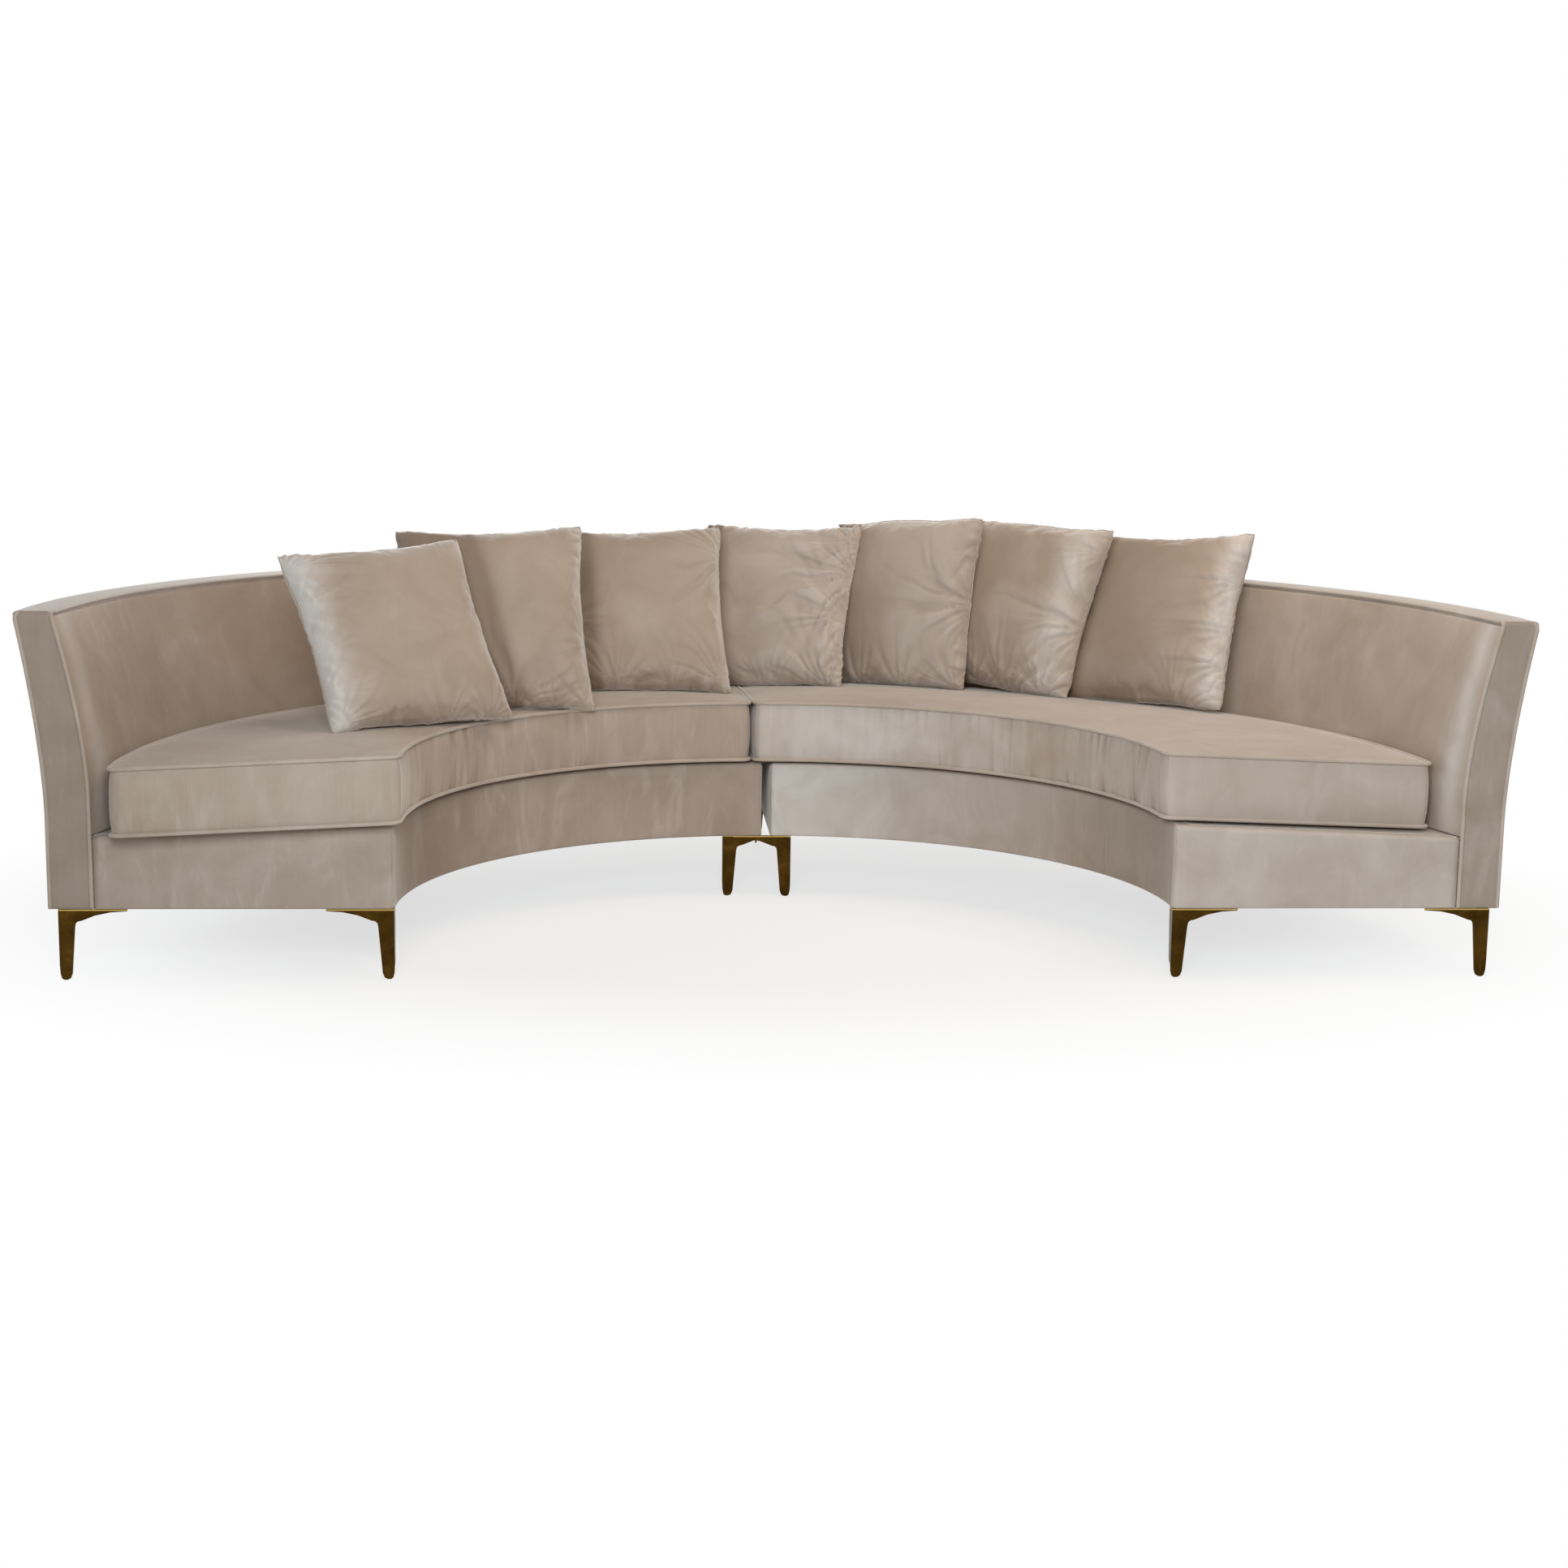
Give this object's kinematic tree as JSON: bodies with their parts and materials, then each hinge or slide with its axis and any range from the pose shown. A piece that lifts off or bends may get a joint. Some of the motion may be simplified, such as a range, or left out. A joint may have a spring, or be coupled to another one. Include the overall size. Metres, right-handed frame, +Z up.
{
  "type": "curved sectional sofa",
  "caption": "Half-ring upholstered sofa in two quarter-ring sections, with loose curved seat cushions, loose square pillows and low wing-bracket legs.",
  "frame": {"origin": "on the floor, under the middle of the bounding box", "axes": "+X to the right of someone facing the sofa, +Y towards its back, +Z up; sitters face -Y"},
  "size_m": [3.298, 1.707, 0.9548],
  "materials": {
    "velvet": "short-pile champagne velvet with a silvery sheen",
    "timber": "sawn softwood and plywood",
    "webbing": "woven elastic webbing",
    "dust_cloth": "thin black cambric",
    "leg_metal": "polished dark antique gold",
    "bolt_steel": "zinc plated"
  },
  "bodies": {
    "left_section": {"left_inner_rail": "timber", "left_outer_rail": "timber", "left_end_rail": "timber", "left_joint_rail": "timber", "left_webbing": "webbing", "left_deck_cover": "velvet", "left_dust_cover": "dust_cloth", "left_base_cover": "velvet", "left_back_end_post": "timber", "left_back_middle_post": "timber", "left_back_joint_post": "timber", "left_back_top_rail": "timber", "left_outside_back": "velvet", "left_inside_back_pad": "velvet", "left_back_border": "velvet", "left_leg_end_inner": "leg_metal", "left_bolt_end_inner": "bolt_steel", "left_leg_end_outer": "leg_metal", "left_bolt_end_outer": "bolt_steel", "left_leg_joint_inner": "leg_metal", "left_bolt_joint_inner": "bolt_steel", "left_leg_joint_outer": "leg_metal", "left_bolt_joint_outer": "bolt_steel", "left_leg_back_middle": "leg_metal", "left_bolt_back_middle": "bolt_steel"},
    "left_seat": {"left_seat_cushion": "velvet"},
    "right_section": {"right_inner_rail": "timber", "right_outer_rail": "timber", "right_end_rail": "timber", "right_joint_rail": "timber", "right_webbing": "webbing", "right_deck_cover": "velvet", "right_dust_cover": "dust_cloth", "right_base_cover": "velvet", "right_back_end_post": "timber", "right_back_middle_post": "timber", "right_back_joint_post": "timber", "right_back_top_rail": "timber", "right_outside_back": "velvet", "right_inside_back_pad": "velvet", "right_back_border": "velvet", "right_leg_end_inner": "leg_metal", "right_bolt_end_inner": "bolt_steel", "right_leg_end_outer": "leg_metal", "right_bolt_end_outer": "bolt_steel", "right_leg_joint_inner": "leg_metal", "right_bolt_joint_inner": "bolt_steel", "right_leg_joint_outer": "leg_metal", "right_bolt_joint_outer": "bolt_steel", "right_leg_back_middle": "leg_metal", "right_bolt_back_middle": "bolt_steel"},
    "right_seat": {"right_seat_cushion": "velvet"},
    "pillow_1": {"pillow_1": "velvet"},
    "pillow_2": {"pillow_2": "velvet"},
    "pillow_3": {"pillow_3": "velvet"},
    "pillow_4": {"pillow_4": "velvet"},
    "pillow_5": {"pillow_5": "velvet"},
    "pillow_6": {"pillow_6": "velvet"},
    "pillow_7": {"pillow_7": "velvet"}
  },
  "joints": [
    {"name": "right_section_slide", "type": "slide", "parent": "left_section", "child": "right_section", "axis": [1, 0, 0], "range_m": [0, 0.3]},
    {"name": "left_seat_pull", "type": "slide", "parent": "left_section", "child": "left_seat", "axis": [0, -0.9986, 0.0527], "range_m": [0, 0.25]},
    {"name": "right_seat_lift", "type": "slide", "parent": "right_section", "child": "right_seat", "axis": [0, 0, 1], "range_m": [0, 0.25]},
    {"name": "pillow_1_lift", "type": "slide", "parent": "left_seat", "child": "pillow_1", "axis": [0, 0, 1], "range_m": [0, 0.5]},
    {"name": "pillow_2_lift", "type": "slide", "parent": "left_seat", "child": "pillow_2", "axis": [-0.087, 0.375, 0.9229], "range_m": [0, 0.5]},
    {"name": "pillow_3_lift", "type": "slide", "parent": "left_seat", "child": "pillow_3", "axis": [0, 0, 1], "range_m": [0, 0.5]},
    {"name": "pillow_4_lift", "type": "slide", "parent": "right_seat", "child": "pillow_4", "axis": [0, 0, 1], "range_m": [0, 0.5]},
    {"name": "pillow_5_lift", "type": "slide", "parent": "right_seat", "child": "pillow_5", "axis": [0.084, 0.3331, 0.9392], "range_m": [0, 0.5]},
    {"name": "pillow_6_lift", "type": "slide", "parent": "right_seat", "child": "pillow_6", "axis": [0.1579, 0.4768, 0.8647], "range_m": [0, 0.5]},
    {"name": "pillow_7_lift", "type": "slide", "parent": "right_seat", "child": "pillow_7", "axis": [0.355, 0.263, 0.8971], "range_m": [0, 0.5]}
  ]
}
